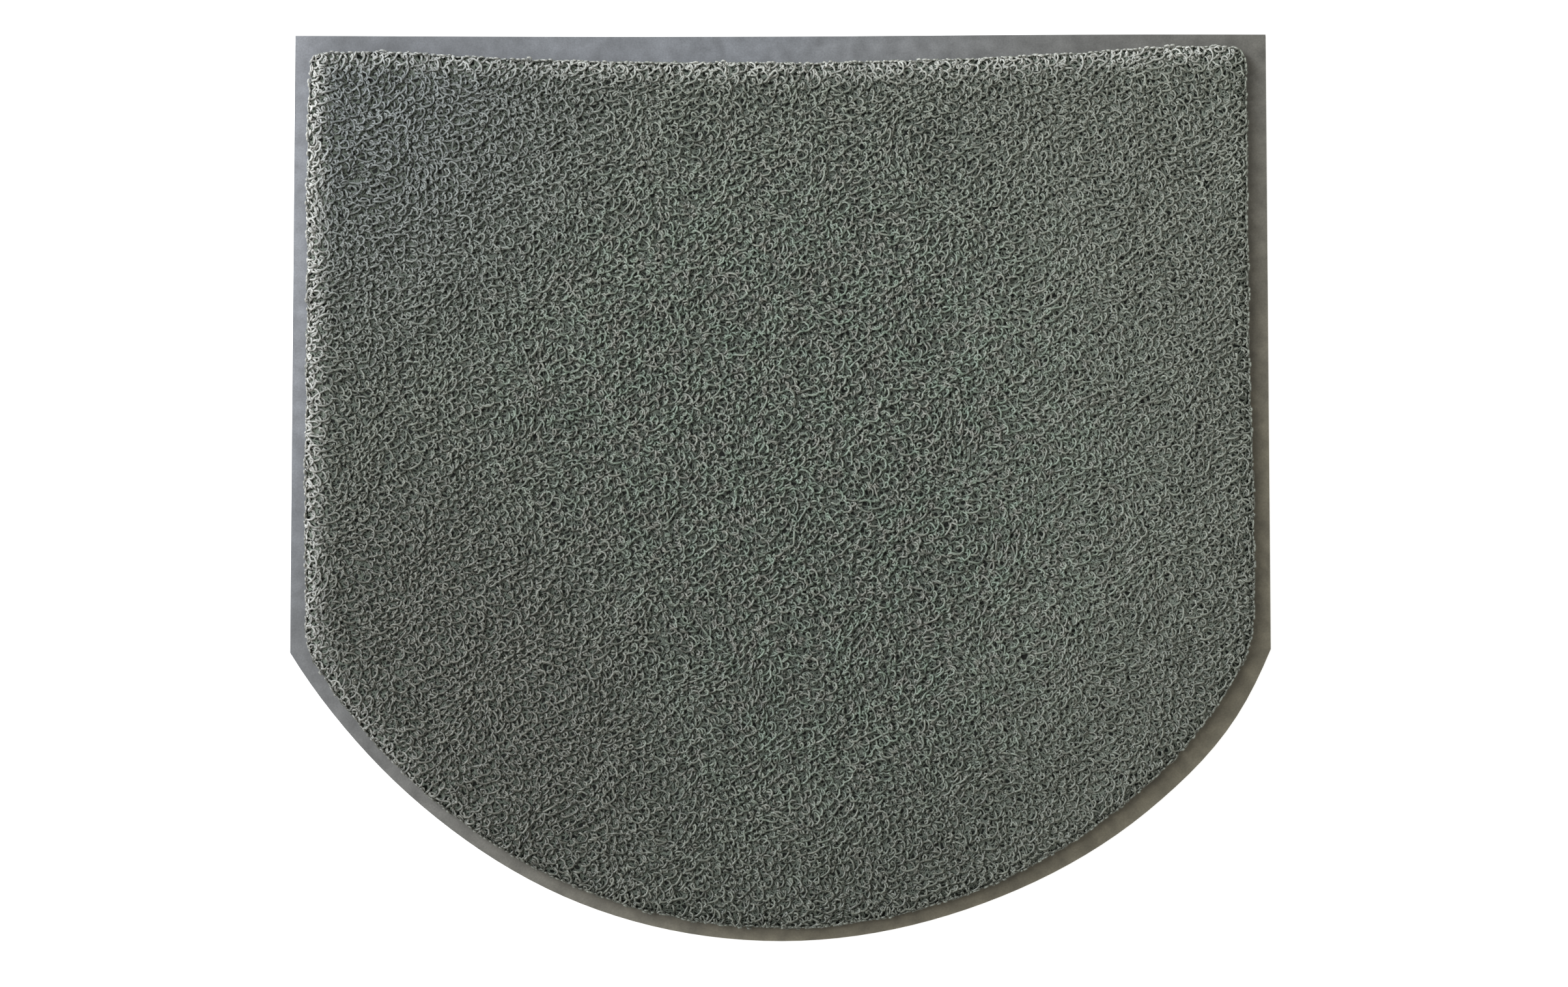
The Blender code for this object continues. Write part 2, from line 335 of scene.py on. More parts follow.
    def along_wall(self, run: Array) -> tuple[Array, Array]:
        """Walks round the wall.

        Args:
            run: distances along the wall. They wrap round.

        Returns:
            The points at these distances and the directions out of the wall there, in plan.
        """
        closed = np.vstack([self.wall, self.wall[:1]])
        step = np.linalg.norm(np.diff(closed, axis=0), axis=1)
        stations = np.concatenate([[0.0], np.cumsum(step)])
        ahead = np.roll(self.wall, -1, axis=0) - np.roll(self.wall, 1, axis=0)
        out = np.column_stack([ahead[:, 1], -ahead[:, 0]])
        out /= np.linalg.norm(out, axis=1, keepdims=True)
        place, ring = run % stations[-1], np.vstack([out, out[:1]])
        point = np.stack([np.interp(place, stations, closed[:, i]) for i in (0, 1)], axis=-1)
        away = np.stack([np.interp(place, stations, ring[:, i]) for i in (0, 1)], axis=-1)
        return point, away / np.linalg.norm(away, axis=-1, keepdims=True)

    def girth(self) -> float:
        """The wall's whole length."""
        return float(np.linalg.norm(np.roll(self.wall, -1, axis=0) - self.wall, axis=1).sum())


def mesh_object(name: str, points: Array, quads: Indices, triangles: Indices) -> bpy.types.Object:
    """Makes a smooth mesh object at the origin.

    Args:
        name: the object's name.
        points: its points, a row each.
        quads: the four points of each quad, a row each.
        triangles: the three points of each triangle, a row each.

    Returns:
        The object, linked to the scene.
    """
    mesh = bpy.data.meshes.new(name)
    mesh.vertices.add(len(points))
    mesh.vertices.foreach_set("co", points.astype(np.float32).ravel())
    corners = np.concatenate([quads.ravel(), triangles.ravel()]).astype(np.int32)
    mesh.loops.add(len(corners))
    mesh.loops.foreach_set("vertex_index", corners)
    starts = np.concatenate([4 * np.arange(len(quads)), quads.size + 3 * np.arange(len(triangles))])
    mesh.polygons.add(len(starts))
    mesh.polygons.foreach_set("loop_start", starts.astype(np.int32))
    mesh.update(calc_edges=True)
    mesh.validate()
    mesh.shade_smooth()
    made = bpy.data.objects.new(name, mesh)
    bpy.context.scene.collection.objects.link(made)
    return made


def set_attribute(piece: bpy.types.Object, name: str, values: Array) -> None:
    """Stores a value at each point of a piece for its material to read.

    Args:
        piece: the mesh object.
        name: the attribute's name.
        values: one value for each point.
    """
    layer = piece.data.attributes.new(name, "FLOAT", "POINT")
    layer.data.foreach_set("value", values.astype(np.float32))


@dataclass(frozen=True)
class StrandRows:
    """Rows of strand as arrays: row by row, then point by point along it.

    Attributes:
        path: the strand's centre, with x, y and z last.
        face: the direction that the strand's broad side faces.
        keep: whether a point is inside the pile. A run of kept points is one strand.
        shade: how light each point's strand is, about 0.
        sunk: how much painted shade darkens the point, from 0 at the top to 1.
        painted_rim_light: how much painted light pales its strand by the wall, from 0 to 1.
    """

    path: Array
    face: Array
    keep: Marks
    shade: Array
    sunk: Array
    painted_rim_light: Array

    def bands(self, count: int) -> list["StrandRows"]:
        """Splits the rows into bands with about as many kept points each.

        Args:
            count: how many bands.

        Returns:
            The bands.
        """
        kept = np.cumsum(self.keep.sum(axis=1))
        cuts = np.searchsorted(kept, kept[-1] * np.arange(1, count) / count)
        parts = (np.split(getattr(self, part.name), cuts) for part in fields(self))
        return [StrandRows(*band) for band in zip(*parts, strict=True)]

    def whole_runs(self) -> Marks:
        """Marks the kept points that have a kept neighbour, so that no strand is a single point."""
        padded = np.pad(self.keep, ((0, 0), (1, 1)))
        return self.keep & (padded[:, 2:] | padded[:, :-2])

    def tubes(self, name: str, radius: float) -> bpy.types.Object:
        """Carries a profile of three sides along each run of kept points.

        With T the direction of travel, B = T x face and N = B x T, the profile's corner k lies at
        P + radius (cos(a) N + sin(a) B), where a is 60, 180 and 300 degrees, so that one flat side faces out
        and its smooth shading rounds it. Each run's two ends are closed by a triangle.

        Args:
            name: the object's name.
            radius: from the strand's centre to a corner of the profile.

        Returns:
            The tubes as one mesh object.
        """
        travel = np.gradient(self.path, axis=1)
        side = np.cross(travel, self.face)
        side /= np.linalg.norm(side, axis=-1, keepdims=True)
        out = np.cross(side, travel)
        out /= np.linalg.norm(out, axis=-1, keepdims=True)
        angle = np.radians([60.0, 180.0, 300.0])[:, None]
        offset = np.cos(angle) * out[:, :, None] + np.sin(angle) * side[:, :, None]
        keep = self.whole_runs()
        points = (self.path[:, :, None] + radius * offset)[keep].reshape(-1, 3)
        number = np.zeros(keep.shape, np.int64)
        number[keep] = 3 * np.arange(keep.sum())
        joined = keep[:, :-1] & keep[:, 1:]
        here, there = number[:, :-1][joined], number[:, 1:][joined]
        sides = ((here + k, here + (k + 1) % 3, there + (k + 1) % 3, there + k) for k in range(3))
        quads = np.stack([np.stack(side_quads, axis=-1) for side_quads in sides])
        starts = number[keep & ~np.pad(joined, ((0, 0), (1, 0)))]
        ends = number[keep & ~np.pad(joined, ((0, 0), (0, 1)))]
        caps = np.concatenate([starts[:, None] + [0, 2, 1], ends[:, None] + [0, 1, 2]])
        made = mesh_object(name, points, quads.reshape(-1, 4), caps)
        for label, values in (("shade", self.shade), ("sunk", self.sunk), ("painted_rim_light", self.painted_rim_light)):
            set_attribute(made, label, np.repeat(values[keep], 3))
        return made


@dataclass(frozen=True)
class ExtrudedVinyl:
    """Soft vinyl strand, extruded through fine nozzles and looped while hot.

    The eye sees a smooth, slightly waxy green-grey strand with a soft highlight along its crest, a little
    lighter or darker from strand to strand. Painted shade darkens it deep in the loops, painted light pales
    it along the rim that faces the window light at the back left, and a cooler tint painted at the back left
    corner stands for that light's colour.
    """

    name: str = "extruded_vinyl_strand"
    green: str = "#707e71"
    rosy: str = "#797b73"
    edge: str = "#71756c"
    # Painted light: a cooler tint at the back left corner, for the cool window light there.
    corner: str = "#717675"
    # A greyer, less green tone towards the front left.
    front_left_tint: str = "#71736b"
    # Painted shade: the colour that the strands take deep in the pile, where shade falls.
    deep: str = "#2f332e"
    # Painted light: the pale colour of the rim that faces the window light.
    painted_rim_light: str = "#bcbdb8"
    roughness: float = 0.36
    ior: float = 1.53
    edge_reach: tuple[float, float] = (120 * MM, 310 * MM)  # from the middle, from none to full
    corner_place: tuple[float, float, float] = (-300 * MM, 280 * MM, 0.0)
    corner_reach: tuple[float, float] = (260 * MM, 40 * MM)
    front_left_place: tuple[float, float, float] = (-230 * MM, -150 * MM, 0.0)
    front_left_reach: tuple[float, float] = (230 * MM, 70 * MM)
    mottle: float = 12 * MM  # across a patch of one brightness
    hues: float = 1.7  # patches of one hue across a patch of one brightness
    hue_span: tuple[float, float] = (0.35, 0.65)  # of the noise, from green to rosy
    mottle_span: tuple[float, float] = (0.9, 1.1)
    brightness: float = 1.04
    shade_gain: float = 0.14  # of brightness, from strand to strand
    drift: tuple[float, float, float] = (0.35, 0.8, 0.0)  # a metre: it grows lighter to the back right
    skin: float = 0.5 * MM  # across the fine ripples of the strand's skin, drawn coarse enough to show
    skin_depth: float = 0.05 * MM
    skin_strength: float = 0.25

    def material(self) -> bpy.types.Material:
        """Builds the strand's material."""
        material, tree, output = fresh_material(self.name)
        place = add_node(tree, "ShaderNodeTexCoord").outputs["Object"]
        shade, sunk, painted_rim_light = (
            add_node(tree, "ShaderNodeAttribute", {"attribute_name": label}).outputs["Fac"]
            for label in ("shade", "sunk", "painted_rim_light")
        )
        scales = (1 / self.mottle, self.hues / self.mottle, 1 / self.skin)
        mottle, hues, skin = (
            add_node(tree, "ShaderNodeTexNoise", {"Scale": scale, "Detail": detail}, {"Vector": place})
            for scale, detail in zip(scales, (2.0, 2.0, 1.0), strict=True)
        )
        spread = dict(zip(("From Min", "From Max"), self.hue_span, strict=True))
        tone = add_node(tree, "ShaderNodeMapRange", spread, {"Value": hues.outputs["Fac"]})
        colours = {"data_type": "RGBA", 6: linear(self.green), 7: linear(self.rosy)}
        body = add_node(tree, "ShaderNodeMix", colours, {0: tone.outputs["Result"]}).outputs[2]
        middle = (0.0, 0.0, 0.0)
        tints = (
            (self.edge, middle, self.edge_reach),
            (self.corner, self.corner_place, self.corner_reach),
            (self.front_left_tint, self.front_left_place, self.front_left_reach),
        )
        for colour, centre, (start, end) in tints:
            away = add_node(tree, "ShaderNodeVectorMath", {"operation": "DISTANCE", 1: centre}, {0: place})
            span = {"interpolation_type": "SMOOTHSTEP", "From Min": start, "From Max": end}
            share = add_node(tree, "ShaderNodeMapRange", span, {"Value": away.outputs["Value"]})
            mixed = {"data_type": "RGBA", 7: linear(colour)}
            body = add_node(tree, "ShaderNodeMix", mixed, {0: share.outputs["Result"], 6: body}).outputs[2]
        # Painted light pales the rim that faces the window.
        pale = {"data_type": "RGBA", 7: linear(self.painted_rim_light)}
        paled = add_node(tree, "ShaderNodeMix", pale, {0: painted_rim_light, 6: body})
        slope = {"operation": "DOT_PRODUCT", 1: self.drift}
        drift = add_node(tree, "ShaderNodeVectorMath", slope, {0: place})
        lift = {"operation": "ADD", 1: self.brightness}
        drifted = add_node(tree, "ShaderNodeMath", lift, {0: drift.outputs["Value"]})
        gain = {"operation": "MULTIPLY_ADD", 1: self.shade_gain}
        light = add_node(tree, "ShaderNodeMath", gain, {0: shade, 2: drifted.outputs[0]})
        span = dict(zip(("To Min", "To Max"), self.mottle_span, strict=True))
        blotch = add_node(tree, "ShaderNodeMapRange", span, {"Value": mottle.outputs["Fac"]})
        factors = {0: light.outputs[0], 1: blotch.outputs["Result"]}
        value = add_node(tree, "ShaderNodeMath", {"operation": "MULTIPLY"}, factors)
        scaled = {0: paled.outputs[2], 3: value.outputs[0]}
        tinted = add_node(tree, "ShaderNodeVectorMath", {"operation": "SCALE"}, scaled)
        # Painted shade deep in the loops.
        painted_shade = {"data_type": "RGBA", 7: linear(self.deep)}
        shaded = add_node(tree, "ShaderNodeMix", painted_shade, {0: sunk, 6: tinted.outputs[0]})
        ripple = {"Strength": self.skin_strength, "Distance": self.skin_depth}
        bump = add_node(tree, "ShaderNodeBump", ripple, {"Height": skin.outputs["Fac"]})
        gloss = {"Roughness": self.roughness, "IOR": self.ior}
        feeds = {"Base Color": shaded.outputs[2], "Normal": bump.outputs["Normal"]}
        shader = add_node(tree, "ShaderNodeBsdfPrincipled", gloss, feeds)
        tree.links.new(shader.outputs["BSDF"], output.inputs["Surface"])
        return material


@dataclass(frozen=True)
class CalenderedVinyl:
    """Soft vinyl sheet, rolled out between heated rollers.

    The eye sees a flat grey with a low sheen, a very fine leathery grain from the roller and cloudy patches
    a shade lighter or darker. Painted on it are a cool tone at the back left, where the window light falls,
    a warm one at the front right, where the pile's shadow falls, a painted sheen at the back of the left
    margin and a little painted light on the back edge.
    """

    name: str = "calendered_vinyl_sheet"
    # Painted light and shade: cool toward the back left, where the window light falls, warm toward the front
    # right, where the pile's shadow falls.
    cool: str = "#5a5d61"
    warm: str = "#615d4f"
    # Painted highlight: a pale sheen at the back of the left margin, on the side toward the window light.
    painted_sheen: str = "#6f7277"
    roughness: float = 0.5
    ior: float = 1.53
    warm_way: tuple[float, float, float] = (0.7, -0.7, 0.0)  # the direction in which the painted shade grows warmer
    warm_reach: tuple[float, float] = (-200 * MM, 200 * MM)  # that way from the middle, from none to full
    cloud: float = 10 * MM
    cloud_span: tuple[float, float] = (0.45, 1.55)
    grain: float = 1.1 * MM  # drawn coarser than the real 0.3 mm, which would not show
    grain_span: tuple[float, float] = (0.7, 1.3)
    grain_depth: float = 0.08 * MM
    grain_strength: float = 0.35
    painted_sheen_x: tuple[float, float] = (-280 * MM, -298 * MM)  # from none to full
    painted_sheen_y: tuple[float, float] = (-90 * MM, 140 * MM)
    back_light_place: tuple[float, float, float] = (0.0, 280 * MM, 0.0)  # where the back edge is painted a little paler, painted light on the side toward the window
    back_light_reach: tuple[float, float] = (250 * MM, 50 * MM)  # from none to full
    back_light_gain: float = 1.33

    def material(self) -> bpy.types.Material:
        """Builds the sheet's material."""
        material, tree, output = fresh_material(self.name)
        place = add_node(tree, "ShaderNodeTexCoord").outputs["Object"]
        clouds, grain = (
            add_node(tree, "ShaderNodeTexNoise", {"Scale": 1 / size, "Detail": detail}, {"Vector": place})
            for size, detail in ((self.cloud, 3.0), (self.grain, 2.0))
        )
        x, y, _ = add_node(tree, "ShaderNodeSeparateXYZ", {}, {0: place}).outputs
        # Painted light and shade: cool to warm across the sheet.
        slope = {"operation": "DOT_PRODUCT", 1: self.warm_way}
        across = add_node(tree, "ShaderNodeVectorMath", slope, {0: place})
        reach = dict(zip(("From Min", "From Max"), self.warm_reach, strict=True))
        tone = add_node(tree, "ShaderNodeMapRange", reach, {"Value": across.outputs["Value"]})
        colours = {"data_type": "RGBA", 6: linear(self.cool), 7: linear(self.warm)}
        body = add_node(tree, "ShaderNodeMix", colours, {0: tone.outputs["Result"]})
        # Painted sheen: ramps across and along the left margin.
        ramps = []
        for (start, end), axis in ((self.painted_sheen_x, x), (self.painted_sheen_y, y)):
            span = {"interpolation_type": "SMOOTHSTEP", "From Min": start, "From Max": end}
            ramps.append(add_node(tree, "ShaderNodeMapRange", span, {"Value": axis}).outputs["Result"])
        share = add_node(tree, "ShaderNodeMath", {"operation": "MULTIPLY"}, {0: ramps[0], 1: ramps[1]})
        pale = {"data_type": "RGBA", 7: linear(self.painted_sheen)}
        sheen_mixed = add_node(tree, "ShaderNodeMix", pale, {0: share.outputs[0], 6: body.outputs[2]})
        # Painted light: the middle of the back edge a little paler.
        centre = {"operation": "DISTANCE", 1: self.back_light_place}
        away = add_node(tree, "ShaderNodeVectorMath", centre, {0: place})
        start, end = self.back_light_reach
        span = {"interpolation_type": "SMOOTHSTEP", "From Min": start, "From Max": end, "To Min": 1.0}
        span["To Max"] = self.back_light_gain
        back_light = add_node(tree, "ShaderNodeMapRange", span, {"Value": away.outputs["Value"]})
        value = back_light.outputs["Result"]
        for noise, ends in ((clouds, self.cloud_span), (grain, self.grain_span)):
            span = dict(zip(("To Min", "To Max"), ends, strict=True))
            uneven = add_node(tree, "ShaderNodeMapRange", span, {"Value": noise.outputs["Fac"]})
            factors = {0: value, 1: uneven.outputs["Result"]}
            value = add_node(tree, "ShaderNodeMath", {"operation": "MULTIPLY"}, factors).outputs[0]
        scaled = {0: sheen_mixed.outputs[2], 3: value}
        tinted = add_node(tree, "ShaderNodeVectorMath", {"operation": "SCALE"}, scaled)
        leather = {"Strength": self.grain_strength, "Distance": self.grain_depth}
        bump = add_node(tree, "ShaderNodeBump", leather, {"Height": grain.outputs["Fac"]})
        gloss = {"Roughness": self.roughness, "IOR": self.ior}
        feeds = {"Base Color": tinted.outputs[0], "Normal": bump.outputs["Normal"]}
        shader = add_node(tree, "ShaderNodeBsdfPrincipled", gloss, feeds)
        tree.links.new(shader.outputs["BSDF"], output.inputs["Surface"])
        return material


@dataclass(frozen=True)
class BeddedVinyl:
    """The lower loops of the same strand, seen through the gaps of the upper ones.

    The eye sees a net of dull curls round dark holes of painted shade: the edges between scattered cells,
    bent by a noise, rounded across like a strand and painted darker towards the holes. Painted shade also
    darkens the curls, most in the middle of the pile.
    """

    name: str = "bedded_vinyl_loops"
    # The loops' colour without painted shade and with it.
    clean: str = "#878f84"
    shaded: str = "#575e56"
    # Painted shade in the holes of the net.
    gap: str = "#101310"
    roughness: float = 0.6
    specular: float = 0.15
    hole: float = 3.4 * MM  # from one hole of the net to the next
    nets: tuple[float, float] = (0.0, 1.0)  # how far each is moved, so that they differ
    bend: float = 6.0 * MM  # how far the net's edges are bent
    bend_holes: float = 2.0  # how many holes long a bend is
    strand: float = 1.2 * MM
    rounding: float = 0.5  # the power that rounds an edge across
    relief: float = 0.6 * MM

    def material(self) -> bpy.types.Material:
        """Builds the bed's material."""
        material, tree, output = fresh_material(self.name)
        place = add_node(tree, "ShaderNodeTexCoord").outputs["Object"]
        bends = {"Scale": 1 / (self.bend_holes * self.hole), "Detail": 1.0}
        noise = add_node(tree, "ShaderNodeTexNoise", bends, {"Vector": place})
        mean = {"operation": "SUBTRACT", 1: (0.5,) * 3}
        centred = add_node(tree, "ShaderNodeVectorMath", mean, {0: noise.outputs["Color"]})
        bend = {"operation": "MULTIPLY_ADD", 1: (self.bend,) * 3}
        bent = add_node(tree, "ShaderNodeVectorMath", bend, {0: centred.outputs[0], 2: place})
        cells = {"voronoi_dimensions": "2D", "feature": "DISTANCE_TO_EDGE", "Scale": 1 / self.hole}
        heights = []
        for shift in self.nets:
            apart = {"operation": "ADD", 1: (shift,) * 3}
            moved = add_node(tree, "ShaderNodeVectorMath", apart, {0: bent.outputs[0]})
            net = add_node(tree, "ShaderNodeTexVoronoi", cells, {"Vector": moved.outputs[0]})
            span = {"From Max": self.strand / 2 / self.hole, "To Min": 1.0, "To Max": 0.0}
            ridge = add_node(tree, "ShaderNodeMapRange", span, {"Value": net.outputs["Distance"]})
            heights.append(ridge.outputs["Result"])
        upper = add_node(tree, "ShaderNodeMath", {"operation": "MAXIMUM"}, {0: heights[0], 1: heights[1]})
        power = {"operation": "POWER", 1: self.rounding}
        crest = add_node(tree, "ShaderNodeMath", power, {0: upper.outputs[0]})
        # Painted shade, as on the strands above.
        gloom = add_node(tree, "ShaderNodeAttribute", {"attribute_name": "gloom"}).outputs["Fac"]
        ends = {"data_type": "RGBA", 6: linear(self.clean), 7: linear(self.shaded)}
        loops = add_node(tree, "ShaderNodeMix", ends, {0: gloom}).outputs[2]
        # Painted shade: the net darkens from its crests into its holes.
        gap = {"data_type": "RGBA", 6: linear(self.gap)}
        colour = add_node(tree, "ShaderNodeMix", gap, {0: crest.outputs[0], 7: loops})
        relief = {"Strength": 1.0, "Distance": self.relief}
        bump = add_node(tree, "ShaderNodeBump", relief, {"Height": crest.outputs[0]})
        gloss = {"Roughness": self.roughness, "Specular IOR Level": self.specular}
        feeds = {"Base Color": colour.outputs[2], "Normal": bump.outputs["Normal"]}
        shader = add_node(tree, "ShaderNodeBsdfPrincipled", gloss, feeds)
        tree.links.new(shader.outputs["BSDF"], output.inputs["Surface"])
        return material


class Winding(Enum):
    """Which way a strand coils as it goes forward, seen from above, or in the wall from outside it."""

    CLOCKWISE = -1
    ANTICLOCKWISE = 1


@dataclass
class CoilLayer:
    """A layer of coils: rows of strand side by side across the pile, each looping as it goes."""

    plan: PilePlan
    finish: bpy.types.Material
    name: str
    heading: float  # of the rows, in degrees from +X
    drop: float  # from the pile's top to the layer's highest strand
    seed: int
    radius: float = 0.72 * MM  # of the strand
    winding: Winding = Winding.ANTICLOCKWISE
    row_spacing: float = 5.4 * MM
    step: float = 1.75 * MM  # from point to point of the strand
    turn: float = 12.2 * MM  # of strand in one loop
    progress: float = 0.42  # of the row, as a share of the strand's length
    swing: float = 0.75  # spread of the unevenness of the strand's direction, in radians
    bend: float = 14.0 * MM  # of strand in which that unevenness swings once
    loose: float = 12.2 * MM  # half the length over which the running mean is taken
    pieces: int = 3
    edge: float = 0.1 * MM  # from the wall to the outermost strand's centre
    warp: float = 2.0 * MM  # spread of how far neighbouring coils are moved together
    warp_length: float = 60.0 * MM
    dip: float = 1.5 * MM  # from the highest to the lowest place along a strand
    dip_length: float = 7.0 * MM  # of strand in which its dip swings once
    dip_turn: float = 1.6  # spread of that swing's angle, in radians
    dip_start: float = 1.0  # its mean
    uneven: float = 0.2 * MM  # mean and spread of how much lower all strands of a place lie
    uneven_length: float = 30.0 * MM
    deepest: float = 3.2 * MM  # that a strand lies under the pile's top
    clean: float = 0.15  # the share of that depth down to which a strand has no painted shade
    darkest: float = 0.7  # how much painted shade a strand has at its deepest
    shade: float = 0.6  # spread of the shade from row to row, and along a row
    shade_length: float = 10.0 * MM

    def rows(self) -> StrandRows:
        """Works out the coils of every row.

        The strand goes in equal steps whose direction turns evenly, plus a smooth uneven field of the
        distance along it, so that it coils in loops of uneven size. A running mean is taken out of the sum
        of the steps, and each row's own straight line is put in its place, so that the rows stay evenly
        spread. Its height is the pile's top, less the strand's radius and a dip that also swings along it.
        Each uneven field has its own seed, counted on from the layer's.

        Returns:
            The rows of strand.
        """
        random = np.random.default_rng(self.seed)
        half = float(np.hypot(self.plan.wall[:, 0], self.plan.wall[:, 1]).max())
        row = np.arange(-half, half, self.row_spacing)[:, None]
        count = len(row)
        own = np.arange(count)[:, None] * 1.0  # far apart, so that rows are uneven on their own
        first = random.uniform(0, FULL_TURN, (count, 1))
        along = self.step * np.arange(round(2 * half / self.step / self.progress))[None] + 0 * own
        angle = first + self.winding.value * FULL_TURN * along / self.turn
        angle += self.swing * WaveField(self.bend, self.seed, 24).at(along, own)
        wiggle = []
        for part in (np.cos(angle), np.sin(angle)):
            total = self.step * np.cumsum(part, axis=1)
            width = round(self.loose / self.step)
            padded = np.pad(total, ((0, 0), (width, width + 1)), mode="edge")
            sums = np.cumsum(padded, axis=1)
            mean = (sums[:, 2 * width + 1 :] - sums[:, : -2 * width - 1]) / (2 * width + 1)
            wiggle.append(total - mean)
        u = self.progress * along - half + wiggle[0]
        v = row + wiggle[1]
        heading = math.radians(self.heading)
        x = math.cos(heading) * u - math.sin(heading) * v
        y = math.sin(heading) * u + math.cos(heading) * v
        x, y = (
            x + self.warp * WaveField(self.warp_length, self.seed + 1).at(x, y),
            y + self.warp * WaveField(self.warp_length, self.seed + 2).at(x, y),
        )
        depth, out = self.plan.depth(x, y)
        beat = self.dip_turn * WaveField(self.dip_length, self.seed + 9).at(along, own) + self.dip_start
        swing = 0.5 + 0.5 * np.cos(beat)
        uneven = self.uneven * (1 + WaveField(self.uneven_length, self.seed + 11).at(x, y))
        dip = np.clip(self.drop + self.dip * swing + self.plan.pit(x, y) + uneven, 0, self.deepest)
        # Painted shade: the deeper a strand lies, the darker it is painted, most in the middle of the pile.
        fall = np.clip(dip / self.deepest - self.clean, 0, 1) / (1 - self.clean)
        painted_shade = self.darkest * self.plan.gloom(x, y) * fall**2 * (3 - 2 * fall)
        # Painted light pales the rim that faces the window.
        painted_rim_light = self.plan.painted_rim_light(depth, out)
        sunk = np.clip(painted_shade, 0, 1) * (1 - painted_rim_light)
        path = np.stack([x, y, self.plan.top(x, y, depth) - self.radius - dip], axis=-1)
        tilt = np.clip(1 - depth / self.plan.shoulder, 0, 1)[..., None]
        face = np.concatenate([tilt * out, np.ones_like(tilt)], axis=-1)
        shade = random.normal(0, self.shade, (count, 1))
        shade = shade + self.shade * WaveField(self.shade_length, self.seed + 12).at(along, own)
        return StrandRows(path, face, depth > self.edge, shade, sunk, painted_rim_light)

    def build(self) -> list[bpy.types.Object]:
        """Makes the rows' tubes in a few bands of rows, and dresses them.

        Returns:
            The pieces.
        """
        made = []
        for index, band in enumerate(self.rows().bands(self.pieces), 1):
            piece = band.tubes(f"{self.name}_{index}", self.radius)
            piece.data.materials.append(self.finish)
            made.append(piece)
        return made


@dataclass
class WallCoils:
    """The coils that stand in the pile's wall, level above level."""

    plan: PilePlan
    finish: bpy.types.Material
    radius: float = 0.65 * MM  # of the strand
    loop: float = 1.9 * MM  # from a loop's middle to the strand's centre
    advance: float = 3.9 * MM  # from loop to loop
    steps: float = 7.4  # points of the strand in one loop
    levels: tuple[float, ...] = (2.1 * MM, 4.1 * MM, 5.8 * MM)  # above the pile's underside
    set_in: float = 0.7 * MM
    winding: Winding = Winding.ANTICLOCKWISE
    seed: int = 41
    stray: WaveField = WaveField(11 * MM, 42, spread=1.0 * MM)  # of the loops along the wall
    growth: WaveField = WaveField(8 * MM, 43, spread=0.18)  # of their size, as a share of it
    size_limits: tuple[float, float] = (0.5, 1.5)  # as shares of the mean size
    lean: WaveField = WaveField(13 * MM, 44, spread=0.25)  # outwards, in radians
    sway: WaveField = WaveField(16 * MM, 45, spread=0.15 * MM)  # into the wall
    lift: WaveField = WaveField(10 * MM, 46, spread=0.4 * MM)
    shade: WaveField = WaveField(10 * MM, 47, spread=0.8)
    foot_gloom: float = 0.3  # how much painted shade a strand has at the wall's foot
    rim_light_gain: float = 2.2  # the painted rim light is this times the share of the pile's height, less 1

    def rows(self) -> StrandRows:
        """Works out the coils of every level.

        A loop's middle M runs along the wall, set in a little. With t along the wall, n out of it, z up and
        w = 1 or -1 for the winding, the strand's centre is
        M + a (t cos(phase) + w (z cos(lean) + n sin(lean)) sin(phase)), and its broad side faces
        n cos(lean) - z sin(lean). Painted light makes a strand paler the higher it lies in the wall, and
        painted shade makes it darker the lower it lies.

        Returns:
            The rows of strand.
        """
        random = np.random.default_rng(self.seed)
        turns = round(self.plan.girth() / self.advance)
        count = len(self.levels)
        number = np.arange(round(turns * self.steps) + 2)
        phase = FULL_TURN * number / self.steps + random.uniform(0, FULL_TURN, (count, 1))
        run = self.plan.girth() * phase / FULL_TURN / turns
        own = np.arange(count)[:, None] * 1.0
        run = run + self.stray.at(run, own)
        size = self.loop * np.clip(1 + self.growth.at(run, own), *self.size_limits)
        lean = self.lean.at(run, own)
        point, out = self.plan.along_wall(run)
        inset = self.set_in + self.sway.at(run, own)
        up = np.array([0.0, 0.0, 1.0])
        out = np.concatenate([out, np.zeros_like(out[..., :1])], axis=-1)
        along = np.cross(up, out)
        upward = up * np.cos(lean)[..., None] + out * np.sin(lean)[..., None]
        height = self.plan.low + np.array(self.levels)[:, None] + self.lift.at(run, own)
        middle = np.concatenate([point, height[..., None]], axis=-1) - inset[..., None] * out
        ring = along * np.cos(phase)[..., None] + self.winding.value * upward * np.sin(phase)[..., None]
        path = middle + size[..., None] * ring
        path[..., 2] = np.maximum(path[..., 2], self.plan.low + self.radius)
        face = out * np.cos(lean)[..., None] - up * np.sin(lean)[..., None]
        rise = (path[..., 2] - self.plan.low) / (self.plan.high - self.plan.low)
        # Painted shade darkens the lower strands of the wall.
        sunk = np.clip(self.foot_gloom * (1 - rise), 0, 1)
        # Painted light pales the upper strands where the wall faces the window.
        painted_rim_light = self.plan.painted_rim_light(inset, out[..., :2]) * np.clip(self.rim_light_gain * rise - 1, 0, 1)
        return StrandRows(path, face, np.ones(run.shape, bool), self.shade.at(run, own), sunk, painted_rim_light)

    def build(self) -> bpy.types.Object:
        """Makes the wall's tubes and dresses them.

        Returns:
            The piece.
        """
        piece = self.rows().tubes("wall_coils", self.radius)
        piece.data.materials.append(self.finish)
        return piece


